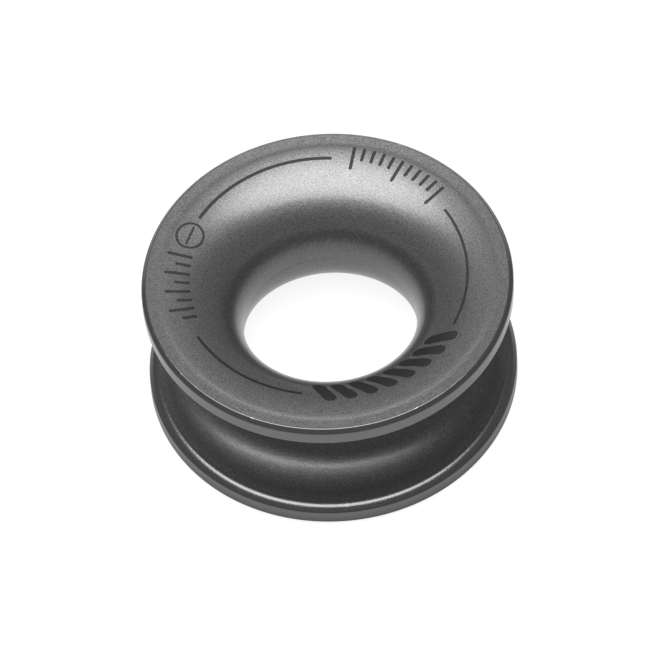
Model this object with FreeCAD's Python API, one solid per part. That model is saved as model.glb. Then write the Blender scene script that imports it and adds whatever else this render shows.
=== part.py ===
import FreeCAD, Part
import math
import os

# Rope fairlead eye: one ring, turned from aluminium bar and anodised, that lies flat on its lower lip.
# A rope runs through the flared bore, and a lashing is wound into the groove round the outside.
# The section is worked out from the bore outwards and from the groove's middle to the lips.
# Sizes are in millimetres. The ring's axis is Z, and the origin is the centre of its lower end.

# Bore: its clear diameter, and the short straight throat between the two flares
bore_diameter = 12.0
throat_length = 0.3

# Lashing groove: the radius of its round floor, the wall that is left between floor and bore, and
# the straight flank that carries each side of the groove on outwards to its mouth
groove_radius = 3.8
groove_wall = 1.6
groove_flank = 0.75

# Groove mouth: the rounding and the chamfer that keep a lashing from chafing as it enters
mouth_rounding = 0.5
mouth_chamfer = 0.3

# Rims: the straight band round each flange, and the chamfer between the band and the lip
rim_band = 0.95
rim_chamfer = 0.3

# Both chamfers are cut at this angle
chamfer_angle = math.radians(45)

throat_radius = bore_diameter / 2
groove_floor_radius = throat_radius + groove_wall
groove_centre_radius = groove_floor_radius + groove_radius

# How far the mouth runs outwards and how far it rises, from the end of the groove's flank
rounding_run = mouth_rounding * math.sin(chamfer_angle)
rounding_rise = mouth_rounding * (1 - math.cos(chamfer_angle))
mouth_chamfer_rise = mouth_chamfer * math.tan(chamfer_angle)
rim_chamfer_rise = rim_chamfer * math.tan(chamfer_angle)

# The outer rim stands outside the mouth, and the lips lie above and below the rims
flank_end_radius = groove_centre_radius + groove_flank
rim_radius = flank_end_radius + rounding_run + mouth_chamfer
mouth_height = groove_radius + rounding_rise + mouth_chamfer_rise
half_height = mouth_height + rim_band + rim_chamfer_rise

# Each flare is a quarter circle from the end of the throat to the flat of the lip
flare_radius = half_height - throat_length / 2
flare_centre_radius = throat_radius + flare_radius


def section_point(radius, height):
    """Point of the section, with its height counted from the middle of the ring."""
    return FreeCAD.Vector(radius, 0, half_height + height)


def straight(start, end):
    """Straight edge of the section between two (radius, height) pairs."""
    return Part.LineSegment(section_point(*start), section_point(*end)).toShape()


def round_edge(centre, radius, first, last, side=1):
    """Arc of the section about a (radius, height) centre, from one angle in radians to another.

    A side of -1 gives the same arc on the lower half of the ring.
    """
    points = []
    for angle in (first, (first + last) / 2, last):
        out = centre[0] + radius * math.cos(angle)
        up = centre[1] + radius * math.sin(angle)
        points.append(section_point(out, side * up))
    return Part.Arc(*points).toShape()


def flare(side):
    """Quarter circle that opens the bore from the throat to a lip."""
    centre = (flare_centre_radius, throat_length / 2)
    return [round_edge(centre, flare_radius, math.pi, math.pi / 2, side)]


def rim(side):
    """Flat lip, chamfer and straight band of one flange, from the flare to the groove's mouth."""
    flare_end = (flare_centre_radius, side * half_height)
    lip_end = (rim_radius - rim_chamfer, side * half_height)
    band_start = (rim_radius, side * (half_height - rim_chamfer_rise))
    band_end = (rim_radius, side * mouth_height)
    return [
        straight(flare_end, lip_end),
        straight(lip_end, band_start),
        straight(band_start, band_end),
    ]


def mouth(side):
    """Chamfer, rounding and straight flank that lead from the band of one flange into the groove."""
    band_end = (rim_radius, side * mouth_height)
    chamfer_end = (rim_radius - mouth_chamfer, side * (mouth_height - mouth_chamfer_rise))
    rounding_centre = (flank_end_radius, groove_radius + mouth_rounding)
    rounding_last = chamfer_angle - math.pi / 2
    return [
        straight(band_end, chamfer_end),
        round_edge(rounding_centre, mouth_rounding, rounding_last, -math.pi / 2, side),
        straight((flank_end_radius, side * groove_radius), (groove_centre_radius, side * groove_radius)),
    ]


def throat():
    """Short straight wall at the narrowest part of the bore."""
    half_length = throat_length / 2
    return [straight((throat_radius, -half_length), (throat_radius, half_length))]


def groove():
    """Round floor of the lashing groove, from the lower flank round to the upper."""
    centre = (groove_centre_radius, 0)
    return [round_edge(centre, groove_radius, 1.5 * math.pi, math.pi / 2)]


def fairlead_ring():
    """The whole ring: its closed section turned once round the axis."""
    edges = throat() + groove()
    for side in (1, -1):
        edges += flare(side) + rim(side) + mouth(side)
    section = Part.Face(Part.Wire(Part.sortEdges(edges)[0]))
    axis = FreeCAD.Vector(0, 0, 1)
    return section.revolve(FreeCAD.Vector(0, 0, 0), axis, 360)


def main():
    """Make the ring and write it as one STEP file."""
    os.makedirs("parts", exist_ok=True)
    ring = fairlead_ring()
    ring.exportStep("parts/fairlead_ring.step")
    print("outer diameter", round(2 * rim_radius, 3))
    print("height", round(2 * half_height, 3))
    print("flat of the lip", round(rim_radius - rim_chamfer - flare_centre_radius, 3))
    print("valid", ring.isValid(), "solids", len(ring.Solids), "volume", round(ring.Volume, 3))


main()
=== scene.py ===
import math

import bpy
import numpy as np
from bpy.props import FloatProperty, FloatVectorProperty, IntProperty, PointerProperty
from bpy.types import Operator, Panel, PropertyGroup
from mathutils import Matrix, Vector
from mathutils.geometry import delaunay_2d_cdt


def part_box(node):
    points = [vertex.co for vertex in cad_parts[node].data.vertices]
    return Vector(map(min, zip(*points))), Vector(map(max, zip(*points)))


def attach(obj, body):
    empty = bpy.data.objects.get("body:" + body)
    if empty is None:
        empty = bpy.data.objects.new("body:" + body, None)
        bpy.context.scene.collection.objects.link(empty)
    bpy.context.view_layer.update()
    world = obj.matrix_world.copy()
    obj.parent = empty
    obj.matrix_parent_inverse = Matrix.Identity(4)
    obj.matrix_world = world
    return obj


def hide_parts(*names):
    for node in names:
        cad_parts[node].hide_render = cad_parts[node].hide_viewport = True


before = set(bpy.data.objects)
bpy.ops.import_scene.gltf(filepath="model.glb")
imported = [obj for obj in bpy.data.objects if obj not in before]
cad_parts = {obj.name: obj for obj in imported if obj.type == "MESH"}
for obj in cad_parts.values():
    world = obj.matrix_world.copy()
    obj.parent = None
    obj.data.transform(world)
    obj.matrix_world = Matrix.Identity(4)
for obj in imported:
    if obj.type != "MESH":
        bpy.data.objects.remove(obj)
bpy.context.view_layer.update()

bl_info = {
    "name": "Rope Fairlead Eye",
    "version": (1, 0, 0),
    "blender": (4, 5, 0),
    "location": "View3D > Sidebar > Fairlead",
    "description": "Dresses a turned and anodised rope fairlead eye with engraving, grain and worn edges",
    "category": "Object",
}

NODE = "fairlead_ring"
MM = 0.001

# The ring's outer radius and height come from the frame, in millimetres
RING_LOW, RING_HIGH = (np.array(corner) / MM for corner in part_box(NODE))
RIM_RADIUS = float(RING_HIGH[0])
HALF_HEIGHT = float(RING_HIGH[2] - RING_LOW[2]) / 2
MIDDLE = float(RING_HIGH[2] + RING_LOW[2]) / 2
QUARTER = math.pi / 2


def full_turn(steps):
    """Even angles of one whole turn, from 0."""
    return np.arange(steps) / steps * math.tau


# Sizes and colours that a user would change

def length(name, description, millimetres):
    """Length property with its default given in millimetres."""
    return FloatProperty(name=name, description=description, default=millimetres * MM,
                         unit="LENGTH", subtype="DISTANCE", precision=5)


def turn(name, description, degrees):
    """Angle property with its default given in degrees."""
    return FloatProperty(name=name, description=description, default=math.radians(degrees),
                         unit="ROTATION", subtype="ANGLE")


def share(name, description, value, high=1.0):
    """Plain number property from 0 to a highest value."""
    return FloatProperty(name=name, description=description, default=value, min=0.0, max=high)


class RingSection(PropertyGroup):
    """Sizes of the turned section that the frame's box does not give."""
    bore_radius: length("Bore radius", "Radius of the clear hole", 6.0)
    throat: length("Throat", "Length of the straight wall at the narrowest part of the bore", 0.3)
    groove_radius: length("Groove radius", "Radius of the lashing groove's round section", 3.8)
    groove_wall: length("Groove wall", "Wall left between the groove's floor and the bore", 1.6)
    mouth_rounding: length("Mouth rounding", "Radius of the rounding at the groove's mouth", 0.7)
    mouth_chamfer: length("Mouth chamfer", "Width of the chamfer at the groove's mouth", 0.22)
    rim_chamfer: length("Rim chamfer", "Width of the chamfer between lip and rim", 0.28)
    worn_edge: length("Worn edge", "Radius that handling has given the sharp edges", 0.06)
    eased_edge: length("Eased edge", "Radius of the two edges of the rim's band", 0.22)
    fullness: share("Flare fullness", "Exponent of the flare's curve: 2 is a plain ellipse", 2.085, 4.0)
    lip_dish: turn("Lip dish", "Inward slope of the lip, which makes it a very shallow dish", 5.0)
    dish_reach: length("Dish reach", "Stretch of the flare over which the lip's slope fades in", 1.3)
    step_place: length("Step place", "Radius of the faint step that ends the flare", 11.53)
    step_width: length("Step width", "Width of the faint step that ends the flare", 0.36)
    step_depth: length("Step depth", "Depth of the faint step that ends the flare", 0.026)
    steps_round: IntProperty(name="Steps round", description="Facets round the ring", default=360, min=64)


class Engraving(PropertyGroup):
    """Layout of the engraved marks on the upper flare, seen from above."""
    centre_x: length("Centre across", "How far the marks' centre lies beside the ring's axis", -0.24)
    centre_y: length("Centre back", "How far the marks' centre lies behind the ring's axis", 0.69)
    line_radius: length("Line radius", "Radius of the circle that the engraved lines follow", 9.92)
    line_width: length("Line width", "Width of the engraved lines", 0.24)
    tick_low: length("Tick foot", "Radius of the ticks' inner ends", 9.17)
    tick_high: length("Tick head", "Radius of the ticks' outer ends", 10.97)
    depth: length("Depth", "Depth of the engraving", 0.012)


class AnodisedFinish(PropertyGroup):
    """Colours and grain of the ring's surface."""
    colour: FloatVectorProperty(name="Anodised colour", description="Colour of the anodised metal",
                                subtype="COLOR", size=3, default=(0.12, 0.12, 0.122))
    bare_colour: FloatVectorProperty(name="Bare metal", description="Colour where the edge is worn bare",
                                     subtype="COLOR", size=3, default=(0.62, 0.62, 0.63))
    mark_colour: FloatVectorProperty(name="Engraved colour", description="Colour of the burnt marks",
                                     subtype="COLOR", size=3, default=(0.037, 0.037, 0.038))
    metallic: share("Metallic", "Share of the blasted surface that mirrors as metal", 0.739)
    cut_metallic: share("Cut metallic", "Share of the bright cut rims that mirrors as metal", 0.86)
    roughness: share("Roughness", "Roughness of the satin surface", 0.323)
    cut_roughness: share("Cut roughness", "Roughness of the bright cut rims", 0.15)
    stretch: share("Stretch", "How far turning stretches the highlights across its marks", 0.365)
    edge_tint: share("Edge tint", "How much of its gloss the metal keeps at a grazing view", 0.464)
    coat: share("Oxide coat", "Weight of the clear oxide layer's own gloss", 1.0)
    coat_roughness: share("Coat roughness", "Roughness of the clear oxide layer", 0.22)
    grain: share("Grain", "Strength of the blasted grain and the turning marks", 0.7)
    mottle: share("Mottle", "How far the grain lightens and darkens the colour", 0.5)


class Studio(PropertyGroup):
    """Camera, lamp and floor."""
    elevation: turn("Camera elevation", "Height of the camera above the floor, as an angle", 54.2)
    roll: turn("Camera roll", "Lean of the picture", -4.19)
    distance: length("Camera distance", "Distance from the camera to the middle of the ring", 585.0)
    aim_right: length("Aim right", "How far the picture's middle lies to the right of the ring's", 0.134)
    aim_down: length("Aim down", "How far the picture's middle lies below the ring's", 0.412)
    pixels_per_mm: share("Picture scale", "Pixels to a millimetre at the ring", 14.455, 100.0)
    softbox_height: length("Softbox height", "Height of the softbox above the ring's lip", 109.8)
    softbox_near: length("Softbox near edge", "How far its near edge lies before the ring's middle", 79.0)
    softbox_far: length("Softbox far edge", "How far its far edge lies behind the ring's middle", 55.95)
    softbox_width: length("Softbox width", "Width of the softbox", 156.7)
    softbox_shift: length("Softbox shift", "How far the softbox lies to the left of the ring", 11.8)
    softbox_turn: turn("Softbox turn", "Turn of the softbox about the upright axis", -12.0)
    softbox_power: share("Softbox power", "Power of the softbox, in watts", 0.274, 10.0)
    sky_level: share("Sky level", "Light of the surroundings above the horizon", 0.24)
    floor_colour: share("Floor colour", "Grey of the floor", 0.182)
    floor_white: share("Floor white", "Light that makes the floor white for the camera", 0.88)
    # The floor's light in reflections is painted to fall off with distance from the ring; at this distance
    # it is half
    painted_light_reach: length("Floor reach", "How far out the floor still mirrors half its light", 150.0)
    floor_mirrored: share("Floor mirrored", "Light that the floor adds in reflections", 0.648)


# Section of the ring: arcs and lines from the throat outwards, then mirrored to the lower half

# How many points the flare, the flat of the lip, the groove's mouth and its floor have
FLARE_STEPS = 48
LIP_STEPS = 9
MOUTH_STEPS = 9
GROOVE_STEPS = 32

# How far an edge is worn bare, from 0 to 1
UNWORN = 0.0
RUBBED = 0.1
SHARP = 1.0

# How far a surface is blasted, from 0 on the bright cut rims to 1 on the flare
CUT = 0.0
MOUTH_BLAST = 0.5
GROOVE_BLAST = 0.9
BLASTED = 1.0


def arc_points(centre, radius, first, last, steps):
    """Points centre + radius (cos a, sin a) and their outward directions, for a from first to last."""
    angles = np.linspace(first, last, steps)
    outward = np.stack([np.cos(angles), np.sin(angles)], axis=1)
    return np.array(centre) + radius * outward, outward


def worn_corner(corner, before, after, radius, steps=6):
    """Small arc that rounds a corner, from the direction of travel before it to the one after it.

    The arc touches both straight sides, so its centre lies on the corner's bisector.
    """
    sine = before[0] * after[1] - before[1] * after[0]
    cosine = before[0] * after[0] + before[1] * after[1]
    turning = math.atan2(sine, cosine)
    reach = radius * math.tan(abs(turning) / 2)
    start = np.array(corner) - reach * np.array(before)
    inward = math.copysign(1.0, turning) * np.array([-before[1], before[0]])
    centre = start + radius * inward
    first = math.atan2(-inward[1], -inward[0])
    points, outward = arc_points(centre, radius, first, first + turning, steps)
    return points, outward


def flare_shape(size):
    """Radius of the flare's end, its two half axes, its lowest height, and its dish's start and slope."""
    throat_radius = size.bore_radius / MM
    foot = size.throat / MM / 2
    reach = HALF_HEIGHT - foot
    crest = throat_radius + reach
    start = crest - size.dish_reach / MM
    slope = math.tan(size.lip_dish)
    edge = RIM_RADIUS - size.rim_chamfer / MM
    dish_rise = slope * ((crest - start) / 2 + edge - crest)
    return crest, reach, reach - dish_rise, foot, start, slope


def top_surface(radius, size):
    """Height and unit normal of the upper flare and lip at each radius.

    The flare is a quarter of a full ellipse, height = foot + rise * (1 - u^n)^(1/n), with u the way
    in from its end as a share of its reach and n its fullness. The lip's shallow dish is added to it:
    its slope grows by a smooth step over the flare's last stretch and then stays. A faint smooth step
    down follows the flare's end.
    """
    crest, reach, rise, foot, start, slope = flare_shape(size)
    inward = np.clip((crest - radius) / reach, 0.0, 1.0)
    fullness = size.fullness
    level = (1 - inward ** fullness) ** (1 / fullness)
    grown = np.clip((radius - start) / (crest - start), 0.0, 1.0)
    dish = slope * ((crest - start) * (grown ** 3 - grown ** 4 / 2) + np.maximum(radius - crest, 0.0))
    dish_slope = slope * grown ** 2 * (3 - 2 * grown)
    first, last = size.step_place / MM, (size.step_place + size.step_width) / MM
    along = np.clip((radius - first) / (last - first), 0.0, 1.0)
    depth = size.step_depth / MM
    dish -= depth * (along ** 2 * (3 - 2 * along) - 1)
    dish_slope -= depth * 6 * along * (1 - along) / (last - first)
    height = foot + rise * level + dish - depth
    across, up = inward ** (fullness - 1), level ** (fullness - 1)
    normals = np.stack([-rise / reach * across - dish_slope * up, up], axis=-1)
    return height, normals / np.linalg.norm(normals, axis=-1, keepdims=True)


def straight(start, end, shares=(0.12, 0.5, 0.88)):
    """Points inside a straight edge of the section, at these shares of its length, and their normals."""
    start, end = np.array(start), np.array(end)
    along = np.array(shares)[:, None]
    way = (end - start) / np.linalg.norm(end - start)
    return start + along * (end - start), np.tile([-way[1], way[0]], (len(shares), 1))


def half_section(size):
    """Upper half of the section from the throat's middle round to the groove's floor, in millimetres.

    Heights are counted from the ring's middle. Returns points, unit normals and, for each point, how
    worn and how blasted it is.
    """
    groove_radius = size.groove_radius / MM
    rounding = size.mouth_rounding / MM
    mouth_chamfer = size.mouth_chamfer / MM
    rim_chamfer = size.rim_chamfer / MM
    worn = size.worn_edge / MM
    eased = size.eased_edge / MM
    diagonal = math.sqrt(0.5)
    down, back = (diagonal, -diagonal), (-diagonal, -diagonal)
    flank_end = RIM_RADIUS - mouth_chamfer - rounding * diagonal
    groove_centre = (size.bore_radius + size.groove_wall + size.groove_radius) / MM
    mouth_height = groove_radius + rounding * (1 - diagonal) + mouth_chamfer
    crest, reach, *_, dish_slope = flare_shape(size)

    flare_radii = crest - reach * np.cos(np.linspace(0, QUARTER, FLARE_STEPS))
    edge = RIM_RADIUS - rim_chamfer
    radii = np.concatenate([flare_radii, np.linspace(crest, edge - worn, LIP_STEPS)[1:]])
    heights, top_normals = top_surface(radii, size)
    lip_way = np.array([1.0, dish_slope]) / math.hypot(1.0, dish_slope)
    lip_corner = (edge, HALF_HEIGHT)
    band_top = (RIM_RADIUS, HALF_HEIGHT - rim_chamfer)
    band_foot = (RIM_RADIUS, mouth_height)
    mouth_end = (RIM_RADIUS - mouth_chamfer, mouth_height - mouth_chamfer)

    # Each piece is points, outward normals, how worn it is and how blasted
    pieces = [
        (np.array([[size.bore_radius / MM, 0.0]]), np.array([[-1.0, 0.0]]), UNWORN, BLASTED),
        (np.stack([radii, heights], axis=1), top_normals, UNWORN, BLASTED),
        (*worn_corner(lip_corner, lip_way, down, worn), SHARP, CUT),
        (*straight(lip_corner, band_top, (0.3, 0.55)), UNWORN, CUT),
        (*worn_corner(band_top, down, (0, -1), eased), RUBBED, CUT),
        (*straight(band_top, band_foot, (0.2, 0.5, 0.8)), UNWORN, CUT),
        (*worn_corner(band_foot, (0, -1), back, eased), RUBBED, CUT),
        (*straight(band_foot, mouth_end, (0.6, 0.8)), UNWORN, MOUTH_BLAST),
    ]
    mouth_centre = (flank_end, groove_radius + rounding)
    points, outward = arc_points(mouth_centre, rounding, -QUARTER / 2, -QUARTER, MOUTH_STEPS)
    pieces.append((points, outward, RUBBED, MOUTH_BLAST))
    flank = (flank_end, groove_radius), (groove_centre, groove_radius)
    pieces.append((*straight(*flank), UNWORN, GROOVE_BLAST))
    points, outward = arc_points((groove_centre, 0.0), groove_radius, QUARTER, math.pi, GROOVE_STEPS)
    pieces.append((points, -outward, UNWORN, GROOVE_BLAST))

    points = np.concatenate([piece[0] for piece in pieces])
    normals = np.concatenate([piece[1] for piece in pieces])
    finish = np.concatenate([np.tile(piece[2:], (len(piece[0]), 1)) for piece in pieces])
    return points, normals, finish


def whole_section(size):
    """Closed section of both halves: points, normals and finish, whose last column is the run so far."""
    upper, normals, finish = half_section(size)
    mirror = np.array([1.0, -1.0])
    points = np.concatenate([upper, (upper * mirror)[1:-1][::-1]])
    normals = np.concatenate([normals, (normals * mirror)[1:-1][::-1]])
    finish = np.concatenate([finish, finish[1:-1][::-1]])
    steps = np.linalg.norm(np.diff(points, axis=0), axis=1)
    run = np.concatenate([[0.0], np.cumsum(steps)])
    return points, normals, np.column_stack([finish, run])


# Engraved marks, drawn from above about their own centre, which lies a little off the ring's axis

# First and last angle of each engraved line in degrees, and its share of the full width
ENGRAVED_LINES = ((83.8, 145.9, 1.0), (-29.1, 28.6, 0.78), (207.0, 257.7, 1.0))
ROUND_END_STEPS = 6

# Graduated scale: angle of the first tick, angle between ticks, and how much shorter the short ones are
SCALE_START = 75.0
SCALE_STEP = -3.8
SCALE_TICKS = 11
SCALE_LONG_EVERY = 5
SCALE_SHORTER = 0.75

# Round sign and the short scale beside it, whose every second tick is shorter
SIGN_ANGLE = 155.4
SIGN_RADIUS = 9.87
SIGN_OUTER_STEPS = 40
SIGN_INNER_STEPS = 32
SHORT_START = 165.5
SHORT_STEP = 4.4
SHORT_TICKS = 8
SHORT_SHORTER = 0.7

# Rope lay: angle of the first strand, angle between strands, radii, width and lean
LAY_START = 267.0
LAY_STEP = 8.0
LAY_STRANDS = 8
LAY_LOW = 8.7
LAY_HIGH = 10.65
LAY_WIDTH = 0.95
LAY_LEAN = 0.9

# How many points a strand's side has, its squareness, and the least value under its width's root
STRAND_STEPS = 12
STRAND_SQUARENESS = 8
STRAND_NARROWEST = 0.12


def mark_centre(marks):
    """Plan point that the marks are laid out about."""
    return np.array([marks.centre_x, marks.centre_y]) / MM


def place(marks, angles, radii):
    """Plan point of each angle in radians and radius about the marks' centre."""
    return mark_centre(marks) + np.stack([radii * np.cos(angles), radii * np.sin(angles)], axis=-1)


def polar_bar(marks, first, last, low, high, step=0.25):
    """Outline of a bar bent round the marks' centre: out along one side and back along the other."""
    count = max(2, int(abs(last - first) * high / step) + 1)
    angles = np.linspace(first, last, count)
    outer = place(marks, angles, np.full(count, high))
    inner = place(marks, angles[::-1], np.full(count, low))
    return np.concatenate([outer, inner])


def engraved_line(marks, first, last, share_of_width=1.0):
    """Long engraved line with half round ends, between two angles in degrees."""
    half = share_of_width * marks.line_width / MM / 2
    radius = marks.line_radius / MM
    first, last = math.radians(first), math.radians(last)
    side = polar_bar(marks, first, last, radius - half, radius + half)
    middle = len(side) // 2
    round_end = np.linspace(0, math.pi, ROUND_END_STEPS)[1:-1]
    ends = []
    for angle, start in ((last, last), (first, first + math.pi)):
        centre = place(marks, np.array(angle), np.array(radius))
        sweep = start + round_end
        ends.append(centre + half * np.stack([np.cos(sweep), np.sin(sweep)], axis=1))
    return np.concatenate([side[:middle], ends[0], side[middle:], ends[1]])


def tick(marks, angle, low, high, width):
    """Straight radial tick at an angle in degrees, with its corners cut."""
    angle = math.radians(angle)
    out = np.array([math.cos(angle), math.sin(angle)])
    across = np.array([-out[1], out[0]])
    half, cut = width / 2, width / 3
    corners = [(low, -half + cut), (low + cut, -half), (high - cut, -half), (high, -half + cut),
               (high, half - cut), (high - cut, half), (low + cut, half), (low, half - cut)]
    return mark_centre(marks) + np.array([r * out + w * across for r, w in corners])


def oval(centre, across, out, long_half, short_half, count):
    """Outline centre + long_half cos(a) across + short_half sin(a) out, against the clock."""
    angles = full_turn(count)[:, None]
    return centre + long_half * np.cos(angles) * across - short_half * np.sin(angles) * out


def round_sign(marks, angle, radius, long_half=1.1, short_half=1.0, stroke=0.17, bar=0.8):
    """Oval with a bar across it, which does not touch the oval."""
    angle = math.radians(angle)
    centre = place(marks, np.array(angle), np.array(radius))
    out = np.array([math.cos(angle), math.sin(angle)])
    across = np.array([-out[1], out[0]])
    half = stroke / 2
    corners = ((-bar, half), (bar, half), (bar, -half), (-bar, -half))
    box = np.array([centre + u * across + v * out for u, v in corners])
    outer = oval(centre, across, out, long_half, short_half, SIGN_OUTER_STEPS)
    inner = oval(centre, across, out, long_half - stroke, short_half - stroke, SIGN_INNER_STEPS)
    return [outer, inner, box]


def rope_strand(marks, angle, low, high, width, lean):
    """Slanted strand with a rounded shoulder at each end, like one strand of a laid rope.

    Its middle line runs along s = lean times (3 t^2 - 2 t^3 - 1/2) for t from foot to head. Its width
    goes with the root of 1 - (2 t - 1)^n, n being its squareness.
    """
    t = np.linspace(0.0, 1.0, STRAND_STEPS)
    radii = low + (high - low) * t
    shift = lean * (t ** 2 * (3 - 2 * t) - 0.5)
    shoulder = 1 - (2 * t - 1) ** STRAND_SQUARENESS
    half = width / 2 * np.sqrt(np.clip(shoulder, STRAND_NARROWEST, 1))
    middle = math.radians(angle)
    left = np.stack([middle + (shift - half) / radii, radii], axis=1)
    right = np.stack([middle + (shift + half) / radii, radii], axis=1)[::-1]
    outline = np.concatenate([left, right])
    return place(marks, outline[:, 0], outline[:, 1])


def mark_outlines(marks):
    """All outlines. A point is engraved where it lies inside an odd number of them."""
    low, high, width = marks.tick_low / MM, marks.tick_high / MM, marks.line_width / MM
    outlines = [engraved_line(marks, *line) for line in ENGRAVED_LINES]
    for index in range(SCALE_TICKS):
        foot = low if index % SCALE_LONG_EVERY == 0 else low + SCALE_SHORTER
        outlines.append(tick(marks, SCALE_START + SCALE_STEP * index, foot, high, width))
    outlines += round_sign(marks, SIGN_ANGLE, SIGN_RADIUS)
    for index in range(SHORT_TICKS):
        head = high if index % 2 == 0 else high - SHORT_SHORTER
        outlines.append(tick(marks, SHORT_START + SHORT_STEP * index, low, head, width))
    for index in range(LAY_STRANDS):
        angle = LAY_START + LAY_STEP * index
        outlines.append(rope_strand(marks, angle, LAY_LOW, LAY_HIGH, LAY_WIDTH, LAY_LEAN))
    return outlines


# Mesh of the ring

# Radii that the band with the marks lies between, and how many circles divide it
BAND_LOW = 7.7
BAND_HIGH = 11.8
BAND_CIRCLES = 15

# The outer part of the lip lies within this much of the ring's top
NEAR_TOP = 0.1

# Points nearer than this are the same point, in millimetres
SAME_PLACE = 1e-4

# Material slot of the turned quads, the plain triangles, the engraved floors and their walls
GROUP_SLOTS = (0, 0, 1, 1)

# The triangulation merges points nearer than this, and gives back what lies inside the outlines
MERGED = 1e-6
INSIDE_ONLY = 1


def revolve(points, normals, finish, steps):
    """Grid of the section turned round the axis: (r cos a, r sin a, z)."""
    angles = full_turn(steps)
    cos, sin = np.cos(angles)[:, None], np.sin(angles)[:, None]
    level = np.ones((steps, 1))
    radius, height = points[:, 0][None], points[:, 1][None]
    place_grid = np.stack([radius * cos, radius * sin, height * level], axis=-1)
    outward, upward = normals[:, 0][None], normals[:, 1][None]
    normal_grid = np.stack([outward * cos, outward * sin, upward * level], axis=-1)
    columns = len(points)
    index = np.arange(steps)[:, None] * columns + np.arange(columns)[None]
    after = np.roll(index, -1, axis=0)
    quads = np.stack([index[:, :-1], index[:, 1:], after[:, 1:], after[:, :-1]], axis=-1).reshape(-1, 4)
    return place_grid.reshape(-1, 3), normal_grid.reshape(-1, 3), np.tile(finish, (steps, 1)), quads


def marked_plan(steps, marks, low, high):
    """Plan of the band between two radii, triangulated so that each outline of a mark is an edge.

    Returns its points, its triangles and, for each triangle, whether it is engraved.
    """
    angles = full_turn(steps)
    unit = np.stack([np.cos(angles), np.sin(angles)], axis=1)
    rings = np.linspace(low, high, BAND_CIRCLES)
    grid = (rings[:, None, None] * unit[None]).reshape(-1, 2)
    outlines = mark_outlines(marks)
    points = [grid]
    # The inner and outer circles bound the band, and the outlines of the marks follow them
    inner_circle, outer_circle, first_mark = 0, 1, 2
    faces = [[ring * steps + k for k in range(steps)] for ring in (0, len(rings) - 1)]
    total = len(grid)
    for outline in outlines:
        faces.append([total + k for k in range(len(outline))])
        points.append(outline)
        total += len(outline)
    points = np.concatenate(points)
    verts, _, triangles, _, _, owners = delaunay_2d_cdt(
        [Vector(p) for p in points], [], faces, INSIDE_ONLY, MERGED, True)
    plan = np.array([tuple(v) for v in verts])
    # The triangulation rounds its points, so those of the two bounding circles are put back exactly
    reach = np.linalg.norm(plan, axis=1)
    for circle in (rings[0], rings[-1]):
        bounding = np.abs(reach - circle) < SAME_PLACE
        angle = np.arctan2(plan[bounding, 1], plan[bounding, 0])
        step = np.round(angle / math.tau * steps).astype(int) % steps
        plan[bounding] = circle * unit[step]
    triangles = np.array(triangles)
    engraved = np.zeros(len(triangles), dtype=bool)
    inside_band = np.zeros(len(triangles), dtype=bool)
    for index, owner in enumerate(owners):
        count = sum(1 for face in owner if face >= first_mark)
        engraved[index] = count % 2 == 1
        inside_band[index] = inner_circle not in owner and outer_circle in owner
    triangles, engraved = triangles[inside_band], engraved[inside_band]
    corner = plan[triangles]
    area = np.cross(corner[:, 1] - corner[:, 0], corner[:, 2] - corner[:, 0])
    triangles[area < 0] = triangles[area < 0][:, ::-1]
    return plan, triangles, engraved


def marked_band(size, marks, low, high):
    """Band of the upper flare between two radii, cut by the outlines of the marks.

    Every point of the plan is lifted to the flare's height at its radius, and engraved triangles are
    sunk by the depth. Returns points, normals, plain triangles, sunk triangles and walls.
    """
    plan, triangles, engraved = marked_plan(size.steps_round, marks, low, high)
    radius = np.linalg.norm(plan, axis=1)
    height, tilt = top_surface(radius, size)
    normals = np.concatenate([tilt[:, :1] * plan / radius[:, None], tilt[:, 1:]], axis=1)
    top = np.concatenate([plan, height[:, None]], axis=1)

    # Points of the engraved floor are copies, sunk along the normal
    cut = triangles[engraved]
    used = np.unique(cut)
    floor_of = np.full(len(plan), -1)
    floor_of[used] = len(plan) + np.arange(len(used))
    floor = top[used] - marks.depth / MM * normals[used]
    # Walls stand on the edges that an engraved triangle shares with a plain one
    sides = np.concatenate([cut[:, [0, 1]], cut[:, [1, 2]], cut[:, [2, 0]]])
    key = np.sort(sides, axis=1)
    _, first, counts = np.unique(key, axis=0, return_index=True, return_counts=True)
    rim = sides[first[counts == 1]]
    walls = np.stack([rim[:, 1], rim[:, 0], floor_of[rim[:, 0]], floor_of[rim[:, 1]]], axis=1)
    all_points = np.concatenate([top, floor])
    all_normals = np.concatenate([normals, normals[used]])
    return all_points, all_normals, triangles[~engraved], floor_of[cut], walls


def ring_surface(size, marks):
    """Turned part and marked band together: points, normals, finish and four groups of faces.

    The groups are the turned quads, the plain triangles, the engraved floors and their walls.
    """
    points, normals, finish = whole_section(size)
    steps = size.steps_round
    outside = (points[:, 0] > BAND_HIGH) & (points[:, 1] > HALF_HEIGHT - NEAR_TOP)
    lip_start = int(np.argmax(outside))
    flare_end = int(np.argmin(np.abs(points[:lip_start, 0] - BAND_LOW)))
    low, high = float(points[flare_end, 0]), float(points[lip_start, 0])
    # The turned part runs from the lip round the outside and the bore to the foot of the band
    order = np.concatenate([np.arange(lip_start, len(points)), np.arange(0, flare_end + 1)])
    body, body_normals, body_finish, quads = revolve(points[order], normals[order], finish[order], steps)
    band, band_normals, plain, sunk, walls = marked_band(size, marks, low, high)
    offset = len(body)
    band_radius = np.linalg.norm(band[:, :2], axis=1)
    top_run = np.interp(band_radius, points[: lip_start + 1, 0], finish[: lip_start + 1, 2])
    band_finish = np.column_stack([np.full(len(band), UNWORN), np.full(len(band), BLASTED), top_run])
    all_points = np.concatenate([body, band])
    all_normals = np.concatenate([body_normals, band_normals])
    all_finish = np.concatenate([body_finish, band_finish])
    return all_points, all_normals, all_finish, (quads, plain + offset, sunk + offset, walls + offset)


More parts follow.
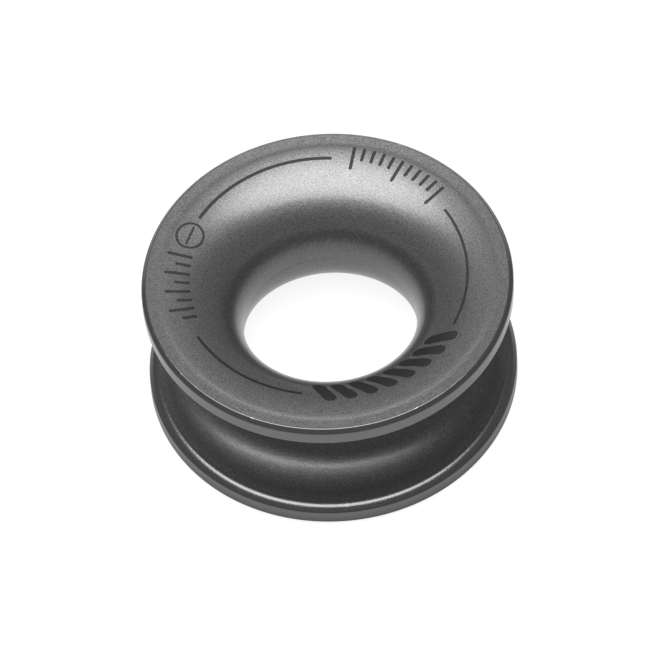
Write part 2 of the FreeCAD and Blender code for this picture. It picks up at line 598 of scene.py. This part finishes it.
def build_ring_mesh(name, size, marks):
    """Weld the turned surface and the marked band into one closed mesh with true normals."""
    points, normals, finish, polygons = ring_surface(size, marks)
    key = np.round(points / SAME_PLACE).astype(np.int64)
    _, keep, back = np.unique(key, axis=0, return_index=True, return_inverse=True)
    back = back.reshape(-1)
    corners = np.concatenate([group.reshape(-1) for group in polygons])
    sizes = np.concatenate([np.full(len(group), group.shape[1]) for group in polygons])
    slots = np.concatenate([np.full(len(group), slot) for group, slot in zip(polygons, GROUP_SLOTS)])
    starts = np.concatenate([[0], np.cumsum(sizes)[:-1]])

    mesh = bpy.data.meshes.new(name)
    mesh.vertices.add(len(keep))
    lifted = points[keep] + np.array([0.0, 0.0, MIDDLE])
    mesh.vertices.foreach_set("co", (lifted * MM).astype(np.float32).ravel())
    mesh.loops.add(len(corners))
    mesh.loops.foreach_set("vertex_index", back[corners].astype(np.int32))
    mesh.polygons.add(len(sizes))
    mesh.polygons.foreach_set("loop_start", starts.astype(np.int32))
    mesh.polygons.foreach_set("material_index", slots.astype(np.int32))
    mesh.update(calc_edges=True)
    mesh.validate()

    for column, label in enumerate(("edge_wear", "blasted", "turning_run")):
        attribute = mesh.attributes.new(label, "FLOAT", "POINT")
        attribute.data.foreach_set("value", finish[keep, column].astype(np.float32))
    # The true normal of the turned surface at every corner
    mesh.polygons.foreach_set("use_smooth", np.ones(len(sizes), dtype=bool))
    mesh.normals_split_custom_set(normals[corners].astype(np.float32))
    return mesh


# Materials

# Size of a grain and how high it stands at full strength, in metres
GRAIN_SIZE = 0.00009
GRAIN_HEIGHT = 0.000022

# Noise of the grain, the dashes and the nicks: its detail, its roughness and its middle value
NOISE_DETAIL = 2.0
NOISE_ROUGHNESS = 0.6
NOISE_MIDDLE = 0.5

WHITE = (1.0, 1.0, 1.0)

# How much of the height the turning dashes are, how strongly grain shows as mottle and as roughness
TURNING = 0.3
MOTTLE_GAIN = 2.4
ROUGHNESS_SPREAD = 0.04

# How fine the turning dashes are round the ring and along its section
DASHES_PER_RADIAN = 22.0
DASHES_PER_MM = 9.0

# How fine the noise of the nicks is, the level that they rise above and how steeply they rise
NICKS_PER_METRE = 1100.0
NICK_LEVEL = 0.66
NICK_GAIN = 12.0

# How bare the metal is along a sharp edge, and how much barer in a nick
EDGE_LINE = 0.04
EDGE_NICKS = 0.8

# A quarter of a turn, which lays the stretch of the highlights across the turning marks
QUARTER_TURN = 0.25

FLOOR_ROUGHNESS = 0.9

# Painted shadow of the ring's foot on the floor in reflections: the floor's light is painted out between
# these radii, and fades in over the third
SHADOW_PAINTED_INSIDE = 11.4
SHADOW_PAINTED_OUTSIDE = 12.5
SHADOW_PAINTED_FADE = 1.0

# Thin dark line in the bore, where the lower flare starts: how far it lies below the ring's middle,
# half its width, the radius that it stays within, the stretch over which it fades to the right, and
# its strength in the middle and at most
DARK_LINE_DROP = 0.2
DARK_LINE_HALF_WIDTH = 0.035
DARK_LINE_RADIUS = 7.5
DARK_LINE_FADE = 5.0
DARK_LINE_IN_MIDDLE = 0.35
DARK_LINE_STRENGTH = 0.85
DARK_LINE_COLOUR = (0.01, 0.01, 0.01, 1.0)

# Burnt floor of the marks: shader values, height and strength of its grain, and its darkest and
# lightest spots as shares of its colour
BURNT_METALLIC = 0.8
BURNT_ROUGHNESS = 0.55
BURNT_SPECULAR = 0.1
BURNT_GRAIN_HEIGHT = 0.00003
BURNT_GRAIN = 0.6
BURNT_DARK = 0.7
BURNT_LIGHT = 1.4


def new_group(name, inputs, outputs):
    """Empty shader node group with named sockets and its input and output nodes."""
    group = bpy.data.node_groups.new(name, "ShaderNodeTree")
    for label, kind, default in inputs:
        socket = group.interface.new_socket(label, in_out="INPUT", socket_type=kind)
        socket.default_value = default
    for label, kind in outputs:
        group.interface.new_socket(label, in_out="OUTPUT", socket_type=kind)
    entry = group.nodes.new("NodeGroupInput")
    leave = group.nodes.new("NodeGroupOutput")
    return group, entry, leave


def node(tree, kind, **values):
    """New node with properties set by name and inputs set by socket label."""
    made = tree.nodes.new(kind)
    for key, value in values.items():
        if hasattr(made, key):
            setattr(made, key, value)
        else:
            made.inputs[key.replace("_", " ").title()].default_value = value
    return made


def math_node(tree, operation, first, second=None, third=None, clamp=False):
    """Math node fed by sockets or numbers."""
    made = tree.nodes.new("ShaderNodeMath")
    made.operation = operation
    made.use_clamp = clamp
    for slot, value in enumerate((first, second, third)):
        if value is None:
            continue
        if isinstance(value, (int, float)):
            made.inputs[slot].default_value = value
        else:
            tree.links.new(value, made.inputs[slot])
    return made.outputs[0]


def new_material(name):
    """New material with its node tree and its main shader."""
    material = bpy.data.materials.new(name)
    material.use_nodes = True
    tree = material.node_tree
    return material, tree, tree.nodes["Principled BSDF"]


def shared_group(tree, name, build):
    """Node that holds a shared node group, which is built when it is first used."""
    made = tree.nodes.new("ShaderNodeGroup")
    made.node_tree = bpy.data.node_groups.get(name) or build()
    return made


def add_bump(tree, shader, height, distance, strength):
    """Let a height tilt the shader's normal."""
    bump = node(tree, "ShaderNodeBump", distance=distance, strength=strength)
    tree.links.new(height, bump.inputs["Height"])
    tree.links.new(bump.outputs["Normal"], shader.inputs["Normal"])


def flattened(tree, place_node):
    """Place of the shaded point with its height left out."""
    flat = node(tree, "ShaderNodeVectorMath", operation="MULTIPLY")
    flat.inputs[1].default_value = (1.0, 1.0, 0.0)
    tree.links.new(place_node.outputs["Object"], flat.inputs[0])
    return flat.outputs["Vector"]


def distance_from_axis(tree, place_node):
    """Distance of the shaded point from the ring's axis."""
    far = node(tree, "ShaderNodeVectorMath", operation="LENGTH")
    tree.links.new(flattened(tree, place_node), far.inputs[0])
    return far.outputs["Value"]


def blasted_grain_group():
    """Fine blasted grain and the dashes that turning leaves: one height for a bump and one mottle.

    The dashes are a noise of the run along the section and of the direction round the axis, so each
    one is a few times as long round the ring as it is wide.
    """
    group, entry, leave = new_group(
        "Blasted Grain",
        [("Grain Size", "NodeSocketFloat", GRAIN_SIZE), ("Turning", "NodeSocketFloat", TURNING)],
        [("Height", "NodeSocketFloat"), ("Mottle", "NodeSocketFloat")])
    place_node = node(group, "ShaderNodeTexCoord")
    scale = math_node(group, "DIVIDE", 1.0, entry.outputs["Grain Size"])
    fine = node(group, "ShaderNodeTexNoise", detail=NOISE_DETAIL, roughness=NOISE_ROUGHNESS)
    group.links.new(place_node.outputs["Object"], fine.inputs["Vector"])
    group.links.new(scale, fine.inputs["Scale"])

    unit = node(group, "ShaderNodeVectorMath", operation="NORMALIZE")
    group.links.new(flattened(group, place_node), unit.inputs[0])
    around = node(group, "ShaderNodeSeparateXYZ")
    group.links.new(unit.outputs["Vector"], around.inputs[0])
    run = node(group, "ShaderNodeAttribute", attribute_name="turning_run")
    dash = node(group, "ShaderNodeCombineXYZ")
    group.links.new(math_node(group, "MULTIPLY", around.outputs["X"], DASHES_PER_RADIAN), dash.inputs["X"])
    group.links.new(math_node(group, "MULTIPLY", around.outputs["Y"], DASHES_PER_RADIAN), dash.inputs["Y"])
    group.links.new(math_node(group, "MULTIPLY", run.outputs["Fac"], DASHES_PER_MM), dash.inputs["Z"])
    dashes = node(group, "ShaderNodeTexNoise", scale=1.0, detail=NOISE_DETAIL, roughness=NOISE_ROUGHNESS)
    group.links.new(dash.outputs["Vector"], dashes.inputs["Vector"])
    turned = math_node(group, "SUBTRACT", dashes.outputs["Fac"], NOISE_MIDDLE)
    grained = math_node(group, "SUBTRACT", fine.outputs["Fac"], NOISE_MIDDLE)
    both = math_node(group, "MULTIPLY_ADD", turned, entry.outputs["Turning"], grained)
    blasted = node(group, "ShaderNodeAttribute", attribute_name="blasted")
    height = math_node(group, "MULTIPLY", both, blasted.outputs["Fac"])
    group.links.new(height, leave.inputs["Height"])
    uneven = math_node(group, "MULTIPLY", grained, blasted.outputs["Fac"])
    mottle = math_node(group, "MULTIPLY_ADD", uneven, MOTTLE_GAIN, NOISE_MIDDLE, clamp=True)
    group.links.new(mottle, leave.inputs["Mottle"])
    return group


def edge_wear_group():
    """Mask of bare metal along the worn edges: a faint even line and a few brighter nicks.

    The edge_wear attribute is 1 on the sharp edges. The nicks are the peaks of a noise above a level.
    """
    group, entry, leave = new_group(
        "Edge Wear",
        [("Line", "NodeSocketFloat", EDGE_LINE), ("Nicks", "NodeSocketFloat", EDGE_NICKS)],
        [("Mask", "NodeSocketFloat")])
    place_node = node(group, "ShaderNodeTexCoord")
    edge = node(group, "ShaderNodeAttribute", attribute_name="edge_wear")
    broken = node(group, "ShaderNodeTexNoise", scale=NICKS_PER_METRE, detail=NOISE_DETAIL)
    group.links.new(place_node.outputs["Object"], broken.inputs["Vector"])
    low = math_node(group, "SUBTRACT", broken.outputs["Fac"], NICK_LEVEL)
    spread = math_node(group, "MULTIPLY", low, NICK_GAIN, clamp=True)
    nicks = math_node(group, "MULTIPLY_ADD", spread, entry.outputs["Nicks"], entry.outputs["Line"])
    mask = math_node(group, "MULTIPLY", edge.outputs["Fac"], nicks, clamp=True)
    group.links.new(mask, leave.inputs["Mask"])
    return group


def mix_colour(tree, factor, first, second):
    """Mix two colours, given as tuples or sockets. A Mix node's colours are its sockets 6, 7 and 2."""
    made = tree.nodes.new("ShaderNodeMix")
    made.data_type = "RGBA"
    tree.links.new(factor, made.inputs[0])
    for slot, value in ((6, first), (7, second)):
        if isinstance(value, tuple):
            made.inputs[slot].default_value = value
        else:
            tree.links.new(value, made.inputs[slot])
    return made.outputs[2]


def shaded(colour, amount):
    """Colour with alpha, made lighter or darker by a factor."""
    return tuple(min(1.0, channel * amount) for channel in colour) + (1.0,)


def dark_bore_line(tree, colour):
    """Colour with a thin darker line in the lower flare.

    The line is where the height is within half its width of its place, and it fades out where the
    flare turns to the right.
    """
    place_node = node(tree, "ShaderNodeTexCoord")
    split = node(tree, "ShaderNodeSeparateXYZ")
    tree.links.new(place_node.outputs["Object"], split.inputs[0])
    level = (MIDDLE - DARK_LINE_DROP) * MM
    near = math_node(tree, "COMPARE", split.outputs["Z"], level, DARK_LINE_HALF_WIDTH * MM)
    fade = -1 / (DARK_LINE_FADE * MM)
    left = math_node(tree, "MULTIPLY_ADD", split.outputs["X"], fade, DARK_LINE_IN_MIDDLE, clamp=True)
    inside = math_node(tree, "LESS_THAN", distance_from_axis(tree, place_node), DARK_LINE_RADIUS * MM)
    mask = math_node(tree, "MULTIPLY", math_node(tree, "MULTIPLY", near, left), inside)
    faint = math_node(tree, "MULTIPLY", mask, DARK_LINE_STRENGTH)
    return mix_colour(tree, faint, colour, DARK_LINE_COLOUR)


def anodised_material(finish):
    """Dark satin anodised aluminium with a blasted grain, faint turning marks and worn edges."""
    material, tree, shader = new_material("anodised_satin")
    # The rims are cut bright, and the flare and the groove are blasted
    blasted = node(tree, "ShaderNodeAttribute", attribute_name="blasted")
    duller = finish.metallic - finish.cut_metallic
    metallic = math_node(tree, "MULTIPLY_ADD", blasted.outputs["Fac"], duller, finish.cut_metallic)
    tree.links.new(metallic, shader.inputs["Metallic"])
    grain = shared_group(tree, "Blasted Grain", blasted_grain_group)
    wear = shared_group(tree, "Edge Wear", edge_wear_group)
    colour = tuple(finish.colour)
    dark, light = shaded(colour, 1 - finish.mottle), shaded(colour, 1 + finish.mottle)
    mottled = mix_colour(tree, grain.outputs["Mottle"], dark, light)
    lined = dark_bore_line(tree, mottled)
    worn = mix_colour(tree, wear.outputs["Mask"], lined, shaded(tuple(finish.bare_colour), 1.0))
    tree.links.new(worn, shader.inputs["Base Color"])
    rougher = finish.roughness - finish.cut_roughness
    lowest = finish.cut_roughness - ROUGHNESS_SPREAD / 2
    even = math_node(tree, "MULTIPLY_ADD", blasted.outputs["Fac"], rougher, lowest)
    rough = math_node(tree, "MULTIPLY_ADD", grain.outputs["Mottle"], ROUGHNESS_SPREAD, even)
    tree.links.new(rough, shader.inputs["Roughness"])
    # The tangent runs round the ring, as the tool did
    tangent = tree.nodes.new("ShaderNodeTangent")
    tangent.direction_type = "RADIAL"
    tangent.axis = "Z"
    tree.links.new(tangent.outputs["Tangent"], shader.inputs["Tangent"])
    shader.inputs["Anisotropic"].default_value = finish.stretch
    shader.inputs["Specular Tint"].default_value = shaded(WHITE, finish.edge_tint)
    shader.inputs["Coat Weight"].default_value = finish.coat
    shader.inputs["Coat Roughness"].default_value = finish.coat_roughness
    shader.inputs["Anisotropic Rotation"].default_value = QUARTER_TURN
    add_bump(tree, shader, grain.outputs["Height"], GRAIN_HEIGHT, finish.grain)
    return material


def engraved_material(finish):
    """Burnt floor of the marks: dark, dull and a little uneven."""
    material, tree, shader = new_material("engraved_dark")
    grain = shared_group(tree, "Blasted Grain", blasted_grain_group)
    colour = tuple(finish.mark_colour)
    dark, light = shaded(colour, BURNT_DARK), shaded(colour, BURNT_LIGHT)
    mottled = mix_colour(tree, grain.outputs["Mottle"], dark, light)
    tree.links.new(mottled, shader.inputs["Base Color"])
    shader.inputs["Metallic"].default_value = BURNT_METALLIC
    shader.inputs["Roughness"].default_value = BURNT_ROUGHNESS
    shader.inputs["Specular IOR Level"].default_value = BURNT_SPECULAR
    add_bump(tree, shader, grain.outputs["Height"], BURNT_GRAIN_HEIGHT, BURNT_GRAIN)
    return material


def floor_reflection_painted_shadow(tree, reach):
    """How bright the floor is in reflections: a painted shadow under the ring's foot, bright round it, and
    a painted falloff of light far away.

    The painted light falls off as 1 / (1 + (distance / reach)^2), and the painted shadow of the ring's
    foot darkens it in between.
    """
    place_node = node(tree, "ShaderNodeTexCoord")
    distance = distance_from_axis(tree, place_node)
    # Painted shadow of the ring's foot: the floor's light is painted out between the two radii and fades
    # in at each side
    slope = 1 / (SHADOW_PAINTED_FADE * MM)
    beside = math_node(tree, "MULTIPLY_ADD", distance, slope, -SHADOW_PAINTED_OUTSIDE / SHADOW_PAINTED_FADE, clamp=True)
    within = math_node(tree, "MULTIPLY_ADD", distance, -slope, SHADOW_PAINTED_INSIDE / SHADOW_PAINTED_FADE, clamp=True)
    clear_of_painted_shadow = math_node(tree, "MAXIMUM", beside, within)
    # Painted falloff of the floor's light with distance from the ring's axis
    far = math_node(tree, "MULTIPLY", distance, 1 / reach)
    painted_falloff = math_node(tree, "DIVIDE", 1.0, math_node(tree, "MULTIPLY_ADD", far, far, 1.0))
    return math_node(tree, "MULTIPLY", clear_of_painted_shadow, painted_falloff)


def floor_material(studio):
    """Pale floor that keeps the ring's soft shadow, with a painted shadow and a painted falloff in its
    light as seen in reflections.
    """
    material, tree, shader = new_material("studio_floor")
    shader.inputs["Base Color"].default_value = shaded(WHITE, studio.floor_colour)
    shader.inputs["Roughness"].default_value = FLOOR_ROUGHNESS
    shader.inputs["Specular IOR Level"].default_value = 0.0
    path = tree.nodes.new("ShaderNodeLightPath")
    shader.inputs["Emission Color"].default_value = shaded(WHITE, 1.0)
    # In reflections the floor's light carries a painted shadow of the ring's foot and a painted falloff
    # with distance
    level = math_node(tree, "MULTIPLY", floor_reflection_painted_shadow(tree, studio.painted_light_reach), studio.floor_mirrored)
    seen = math_node(tree, "MAXIMUM", path.outputs["Is Glossy Ray"], path.outputs["Is Transmission Ray"])
    mirrored = math_node(tree, "MULTIPLY", seen, level)
    lift = math_node(tree, "MULTIPLY_ADD", path.outputs["Is Camera Ray"], studio.floor_white, mirrored)
    tree.links.new(lift, shader.inputs["Emission Strength"])
    return material


# Operators and the stage

# The picture's width in pixels and the camera's sensor in millimetres
PICTURE_WIDTH = 665
SENSOR_WIDTH = 36.0

# Nearest and farthest thing that the camera shows, and half the floor's width, in metres
CLIP_NEAR = 0.01
CLIP_FAR = 20.0
FLOOR_HALF_WIDTH = 3.0


class FAIRLEAD_OT_ring(Operator):
    """Make the turned ring with its engraved marks, in place of the plain solid."""
    bl_idname = "fairlead.ring"
    bl_label = "Make Ring"

    def execute(self, context):
        scene = context.scene
        mesh = build_ring_mesh("fairlead_eye", scene.fairlead_section, scene.fairlead_engraving)
        ring = bpy.data.objects.new("fairlead_eye", mesh)
        scene.collection.objects.link(ring)
        mesh.materials.append(anodised_material(scene.fairlead_finish))
        mesh.materials.append(engraved_material(scene.fairlead_finish))
        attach(ring, "root")
        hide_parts(NODE)
        return {"FINISHED"}


def add_camera(scene, studio):
    """Camera at the viewing angle, so far off that the picture has almost no perspective."""
    elevation, roll, distance = studio.elevation, studio.roll, studio.distance
    toward = Vector((0.0, -math.cos(elevation), math.sin(elevation)))
    right = Vector((1.0, 0.0, 0.0))
    up = toward.cross(right)
    turned = Matrix.Rotation(roll, 3, toward)
    right, up = turned @ right, turned @ up
    data = bpy.data.cameras.new("photo_camera")
    camera = bpy.data.objects.new("photo_camera", data)
    middle = Vector((0.0, 0.0, MIDDLE * MM))
    spot = middle + distance * toward + studio.aim_right * right - studio.aim_down * up
    camera.matrix_world = Matrix.Translation(spot) @ Matrix((right, up, toward)).transposed().to_4x4()
    focal_pixels = studio.pixels_per_mm / MM * distance
    data.sensor_fit = "HORIZONTAL"
    data.sensor_width = SENSOR_WIDTH
    data.lens = focal_pixels / PICTURE_WIDTH * SENSOR_WIDTH
    data.clip_start = CLIP_NEAR
    data.clip_end = CLIP_FAR
    scene.collection.objects.link(camera)
    scene.camera = camera


def add_softbox(scene, studio):
    """Oval soft area lamp close above the ring, which faces straight down."""
    data = bpy.data.lights.new("softbox_above", "AREA")
    data.shape = "ELLIPSE"
    data.size = studio.softbox_width
    data.size_y = studio.softbox_near + studio.softbox_far
    data.energy = studio.softbox_power
    lamp = bpy.data.objects.new("softbox_above", data)
    back = (studio.softbox_far - studio.softbox_near) / 2
    height = RING_HIGH[2] * MM + studio.softbox_height
    spot = Vector((-studio.softbox_shift, back, height))
    lamp.matrix_world = Matrix.Translation(spot) @ Matrix.Rotation(studio.softbox_turn, 4, "Z")
    scene.collection.objects.link(lamp)


def build_world(scene, studio):
    """White for the camera and dim and even for everything else."""
    world = bpy.data.worlds.new("studio")
    scene.world = world
    world.use_nodes = True
    tree = world.node_tree
    background = tree.nodes["Background"]
    path = tree.nodes.new("ShaderNodeLightPath")
    strength = math_node(tree, "MAXIMUM", path.outputs["Is Camera Ray"], studio.sky_level)
    background.inputs["Color"].default_value = shaded(WHITE, 1.0)
    tree.links.new(strength, background.inputs["Strength"])


class FAIRLEAD_OT_stage(Operator):
    """Set up the floor, the soft studio light and the camera."""
    bl_idname = "fairlead.stage"
    bl_label = "Make Stage"

    def execute(self, context):
        scene = context.scene
        studio = scene.fairlead_studio
        reach = FLOOR_HALF_WIDTH
        mesh = bpy.data.meshes.new("studio_floor")
        corners = [(-reach, -reach, 0.0), (reach, -reach, 0.0), (reach, reach, 0.0), (-reach, reach, 0.0)]
        mesh.from_pydata(corners, [], [(0, 1, 2, 3)])
        mesh.materials.append(floor_material(studio))
        floor = bpy.data.objects.new("studio_floor", mesh)
        scene.collection.objects.link(floor)
        add_camera(scene, studio)
        add_softbox(scene, studio)
        build_world(scene, studio)
        scene.view_settings.view_transform = "Standard"
        return {"FINISHED"}


class FAIRLEAD_PT_panel(Panel):
    """Lists the steps that make the fairlead eye."""
    bl_idname = "FAIRLEAD_PT_panel"
    bl_label = "Rope Fairlead Eye"
    bl_space_type = "VIEW_3D"
    bl_region_type = "UI"
    bl_category = "Fairlead"

    def draw(self, context):
        layout = self.layout
        for group in GROUPS:
            settings = getattr(context.scene, group)
            column = layout.column(align=True)
            column.label(text=type(settings).__doc__)
            for key in type(settings).__annotations__:
                column.prop(settings, key)
        for step in STEPS:
            layout.operator(step.bl_idname)


GROUPS = {
    "fairlead_section": RingSection,
    "fairlead_engraving": Engraving,
    "fairlead_finish": AnodisedFinish,
    "fairlead_studio": Studio,
}
STEPS = (FAIRLEAD_OT_ring, FAIRLEAD_OT_stage)
CLASSES = tuple(GROUPS.values()) + STEPS + (FAIRLEAD_PT_panel,)


def register():
    for each in CLASSES:
        bpy.utils.register_class(each)
    for label, group in GROUPS.items():
        setattr(bpy.types.Scene, label, PointerProperty(type=group))


def unregister():
    for label in GROUPS:
        delattr(bpy.types.Scene, label)
    for each in reversed(CLASSES):
        bpy.utils.unregister_class(each)


def main():
    register()
    bpy.ops.fairlead.ring()
    bpy.ops.fairlead.stage()


if __name__ == "__main__":
    main()
